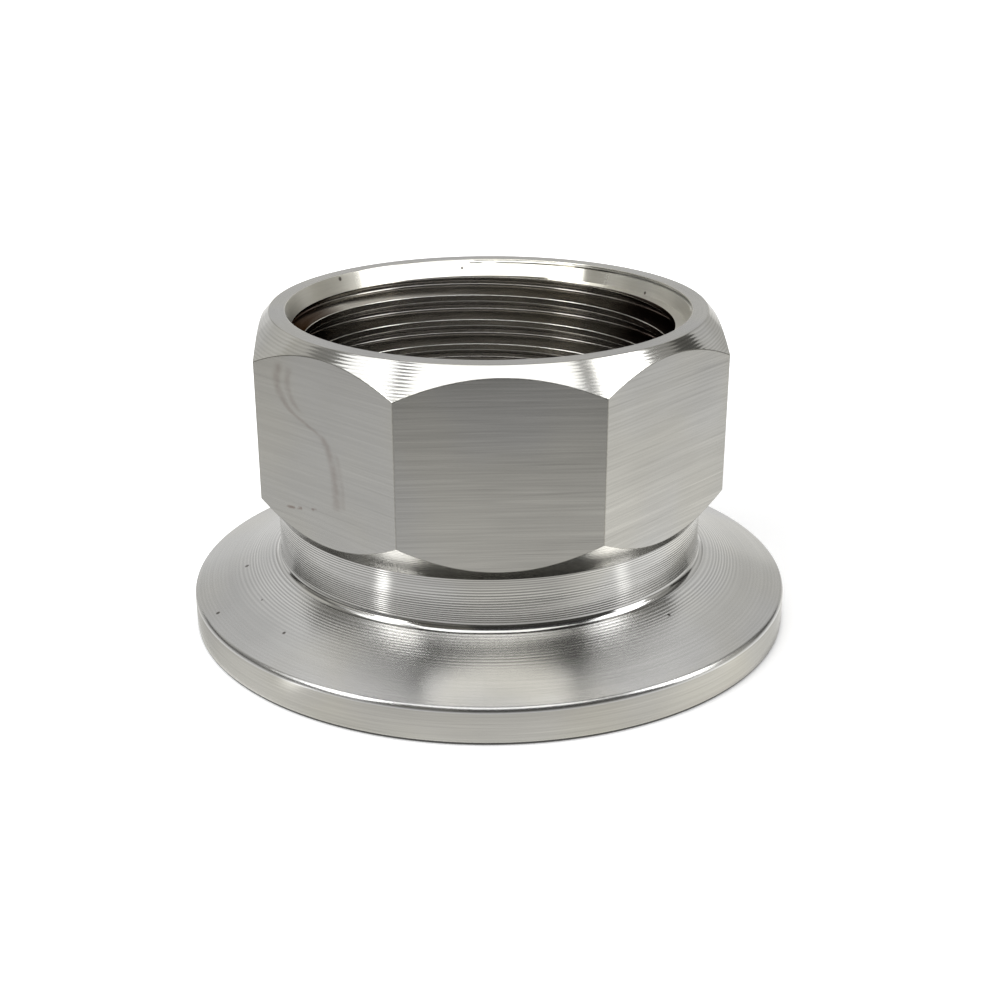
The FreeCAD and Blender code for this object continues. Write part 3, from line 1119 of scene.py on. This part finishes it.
# How far to the front, the right and either side a place lies, read from the
# level unit direction.
CARD_FRONT = (-0.3, 0.7)
CARD_RIGHT = (-0.35, 0.35)
CARD_FLANK = (0.35, 0.8)
# Bright wedges ahead of the part, as azimuth and strength, and their width as
# a sine. Far ahead of the part the card falls to CARD_GLOOM.
WEDGES = ((-45.5, 1.7), (53.0, 0.6))
WEDGE_WIDTH = 0.055
WEDGE_START = (27.0, 31.0)
WEDGE_END = (38.0, 46.0)
CARD_GLOOM = 0.25
CARD_GLOOM_START = (90.0, 200.0)
CARD_WARMTH = 0.015


def floor_card_material():
    material = bpy.data.materials.new("floor_card")
    material.use_nodes = True
    g = Graph(material.node_tree)
    radius, x, y = level_radius(g)
    front = g.spread(g.math("MULTIPLY", y, -1.0), *CARD_FRONT)
    side = g.spread(x, *CARD_RIGHT)
    flank = g.spread(g.math("ABSOLUTE", x), *CARD_FLANK)

    def level(values):
        flanks = g.spread(side, 0.0, 1.0, values["left"], values["right"], False)
        ends = g.spread(front, 0.0, 1.0, values["back"], values["front"], False)
        return g.math(
            "ADD",
            g.math("MULTIPLY", flanks, flank),
            g.math("MULTIPLY", ends, g.math("SUBTRACT", 1.0, flank)),
        )

    near, mid, far = map(level, (FLOOR_CARD_NEAR, FLOOR_CARD_MID, FLOOR_CARD_FAR))
    fall = g.spread(radius, *WEDGE_END, 1.0, 0.0)
    wedge = g.math("MULTIPLY", g.spread(radius, *WEDGE_START), fall)
    ahead = g.math("LESS_THAN", y, 0.0)
    streaks = 0.0
    for azimuth, strength in WEDGES:
        aside = g.math("ABSOLUTE", g.math("SUBTRACT", x, sin(azimuth)))
        streak = g.spread(aside, 0.0, WEDGE_WIDTH, strength, 0.0)
        streaks = g.math("ADD", streaks, streak)
    wedge = g.math("MULTIPLY", g.math("MULTIPLY", wedge, ahead), streaks)
    first = g.spread(radius, *FLOOR_CARD_SPAN[:2])
    second = g.spread(radius, *FLOOR_CARD_SPAN[2:4])
    value = g.math(
        "ADD",
        g.math("MULTIPLY", near, g.math("SUBTRACT", 1.0, first)),
        g.math("MULTIPLY", mid, g.math("SUBTRACT", first, second)),
    )
    value = g.math("ADD", value, g.math("MULTIPLY", far, second))
    gloom = g.math("MULTIPLY", g.spread(radius, *CARD_GLOOM_START), front)
    value = g.math("MULTIPLY", value, g.spread(gloom, 0.0, 1.0, 1.0, CARD_GLOOM, False))
    value = g.math("ADD", value, wedge)
    out = g.add("ShaderNodeOutputMaterial")
    g.feed(out.inputs["Surface"], glowing(g, value, grey(1.0, CARD_WARMTH)))
    return material


# Low dark cards near the part, which the mouth and the flats look past: name,
# radius, lowest and highest point in millimetres, azimuths and brightness.
LOW_CARDS = (
    ("card_shade", 100.0, (4.0, 52.0), (-12, 60), 0.03),
    ("card_shade_left", 100.0, (4.0, 52.0), (-45, -12), 0.10),
    ("card_shade_side", 80.0, (12.0, 24.0), (-92, -45), 0.03),
    ("card_shade_far_left", 80.0, (8.0, 22.0), (-118, -92), 0.03),
    ("card_shade_far_right", 80.0, (8.0, 22.0), (94, 116), 0.03),
)
LOW_CARD_WARMTH = 0.1


def make_cards():
    cards = []
    for name, azimuth_range, (low, high), level, warm in CARDS:
        rings = []
        for step in range(CARD_ROWS + 1):
            angle = low + (high - low) * step / CARD_ROWS
            rings.append((CARD_DISTANCE * cos(angle), CARD_DISTANCE * sin(angle)))
        material = card_material(name, level, warm)
        cards.append(make_card(name, rings, azimuth_range, material))
    for name, radius, heights, azimuth_range, level in LOW_CARDS:
        rings = [(radius * MM, height * MM) for height in heights]
        material = card_material(name, level, LOW_CARD_WARMTH)
        cards.append(make_card(name, rings, azimuth_range, material))
    rings = [(mm * MM, FLOOR_CARD_LIFT * MM) for mm in FLOOR_CARD_SPAN]
    cards.append(make_card("floor_card", rings, (0, 360), floor_card_material()))
    return cards


# Soft boxes: name, azimuth, elevation, then distance, width and height in metres,
# and radiance.
LAMPS = (
    ("soft_front", -20.0, 50.0, 0.62, 1.1, 0.70, 1.5),
    ("soft_back", 170.0, 60.0, 0.70, 0.60, 0.50, 1.0),
)


def make_lamp(name, azimuth, elevation, distance, width, height, radiance):
    lamp = bpy.data.lights.new(name, "AREA")
    lamp.shape = "RECTANGLE"
    lamp.size, lamp.size_y = width, height
    # An area lamp of P watts shines with P / (pi * area) towards the object.
    lamp.energy = radiance * math.pi * width * height
    obj = bpy.data.objects.new(name, lamp)
    bpy.context.collection.objects.link(obj)
    place = Vector(
        (
            sin(azimuth) * cos(elevation),
            -cos(azimuth) * cos(elevation),
            sin(elevation),
        )
    )
    obj.location = place * distance
    obj.rotation_euler = (-place).to_track_quat("-Z", "Y").to_euler()
    obj.visible_glossy = False
    return obj


# Camera

# Distance from the axis, height, pitch, yaw and roll, then how far the camera is
# turned round the axis. The focal length is a share of the frame's width.
CAMERA_DISTANCE = 118.65
CAMERA_HEIGHT = 56.21
CAMERA_PITCH = 21.630
CAMERA_YAW = 0.439
CAMERA_ROLL = -0.016
CAMERA_PHASE = 2.50
FOCAL_SHARE = 1.4873
SENSOR = 36.0
CLIP_NEAR, CLIP_FAR = 0.005, 20.0


def make_camera():
    data = bpy.data.cameras.new("camera")
    data.sensor_fit = "HORIZONTAL"
    data.sensor_width = SENSOR
    data.lens = SENSOR * FOCAL_SHARE
    data.clip_start = CLIP_NEAR
    data.clip_end = CLIP_FAR
    right = Vector((cos(CAMERA_YAW), -sin(CAMERA_YAW), 0.0))
    level = Vector((sin(CAMERA_YAW), cos(CAMERA_YAW), 0.0))
    forward = level * cos(CAMERA_PITCH) - Vector((0, 0, sin(CAMERA_PITCH)))
    up = level * sin(CAMERA_PITCH) + Vector((0, 0, cos(CAMERA_PITCH)))
    across = right * cos(CAMERA_ROLL) + up * sin(CAMERA_ROLL)
    upward = up * cos(CAMERA_ROLL) - right * sin(CAMERA_ROLL)
    turn = Matrix.Rotation(math.radians(-CAMERA_PHASE), 4, "Z")
    place = Matrix.Identity(4)
    for row in range(3):
        place[row][0] = across[row]
        place[row][1] = upward[row]
        place[row][2] = -forward[row]
    place[1][3] = -CAMERA_DISTANCE * MM
    place[2][3] = CAMERA_HEIGHT * MM
    camera = bpy.data.objects.new("camera", data)
    bpy.context.collection.objects.link(camera)
    camera.matrix_world = turn @ place
    bpy.context.scene.camera = camera


# The whole scene

skin = build_skin()
for name in ZONES:
    skin.data.materials.append(metal(name))
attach(skin, "root")
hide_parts(NODE)

make_world()
make_floor()
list(make_cards())
[make_lamp(*lamp) for lamp in LAMPS]
make_camera()
bpy.context.scene.view_settings.view_transform = "Standard"
